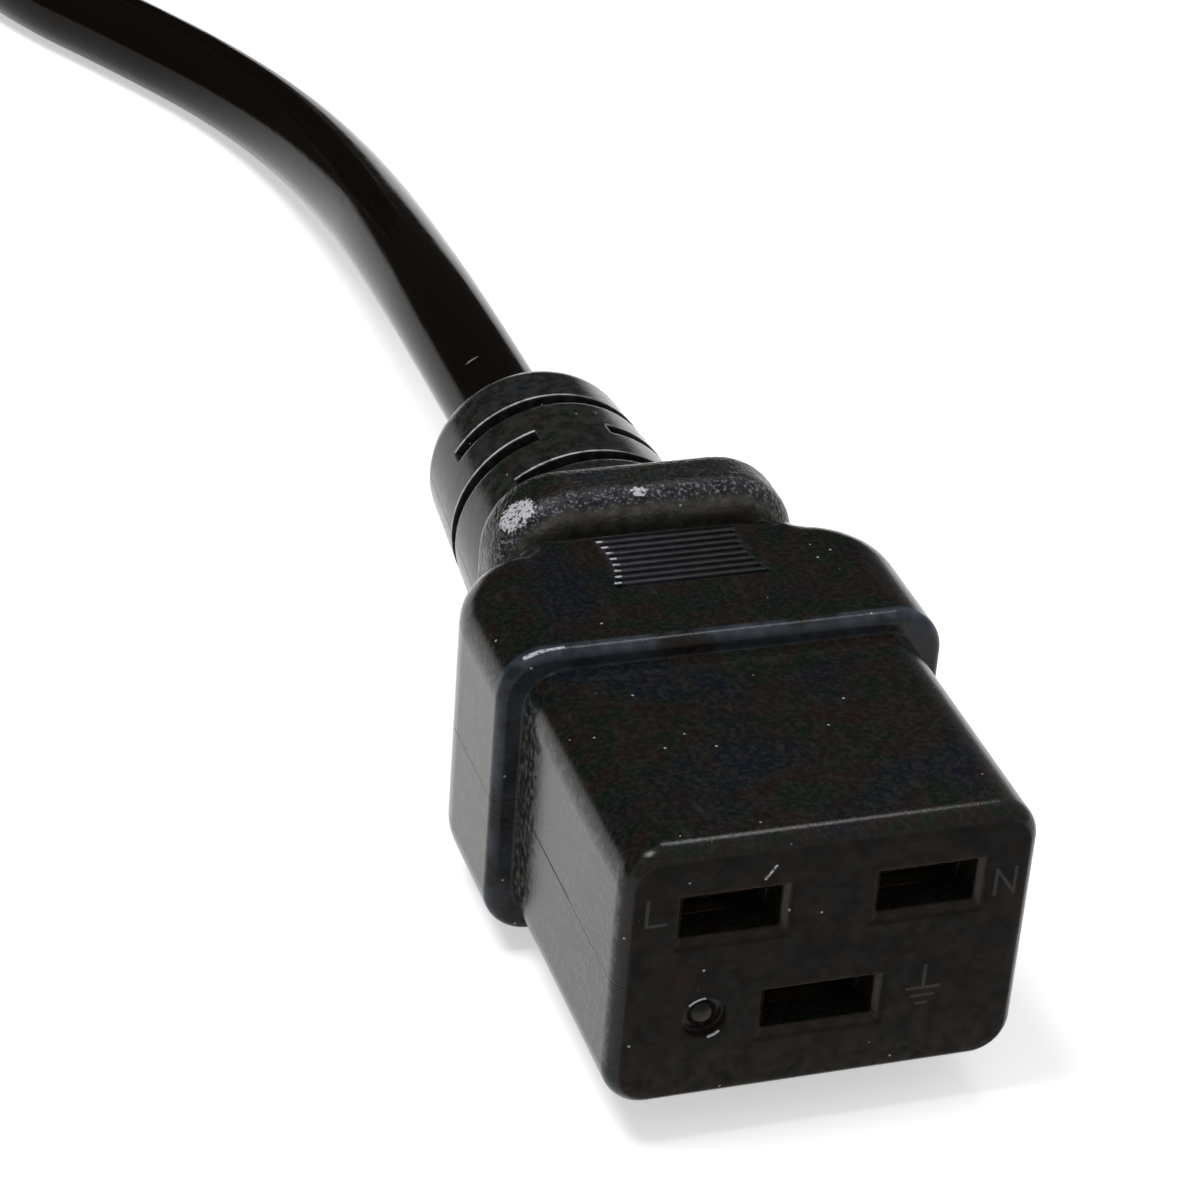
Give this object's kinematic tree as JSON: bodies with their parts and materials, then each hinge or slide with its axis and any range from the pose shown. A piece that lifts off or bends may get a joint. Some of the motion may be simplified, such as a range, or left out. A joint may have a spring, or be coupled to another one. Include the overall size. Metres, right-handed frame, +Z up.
{
  "type": "appliance power connector",
  "caption": "Moulded black three-pole appliance connector with a slit strain relief, on a mains cord whose spare length is tied in a hank.",
  "frame": {"origin": "middle of the connector's length and width, on the surface it rests on", "axes": "+X across the mating face, +Y from the mating face towards the cord, +Z up"},
  "size_m": [0.0566, 0.4707, 0.041],
  "materials": {
    "moulding": "fine matte grain",
    "carrier": "matte",
    "contact_brass": "drawn, slightly dull",
    "blade_brass": "nickel-bright, satin",
    "core_brown": "smooth",
    "core_blue": "smooth",
    "core_green_yellow": "smooth, striped",
    "cord_jacket": "smooth, glossy",
    "tie_nylon": "smooth"
  },
  "bodies": {
    "root": {"connector_overmould": "moulding", "contact_carrier": "carrier", "line_contact": "contact_brass", "neutral_contact": "contact_brass", "earth_contact": "contact_brass", "line_core": "core_brown", "neutral_core": "core_blue", "earth_core": "core_green_yellow", "cord_in_connector": "cord_jacket", "cord_lead": "cord_jacket", "cord_hank": "cord_jacket", "cord_tail": "cord_jacket", "cord_in_plug": "cord_jacket", "hank_ties": "tie_nylon", "plug_overmould": "moulding", "plug_carrier": "carrier", "plug_line_blade": "blade_brass", "plug_neutral_blade": "blade_brass", "plug_earth_blade": "blade_brass", "plug_line_core": "core_brown", "plug_neutral_core": "core_blue", "plug_earth_core": "core_green_yellow"}
  },
  "joints": []
}
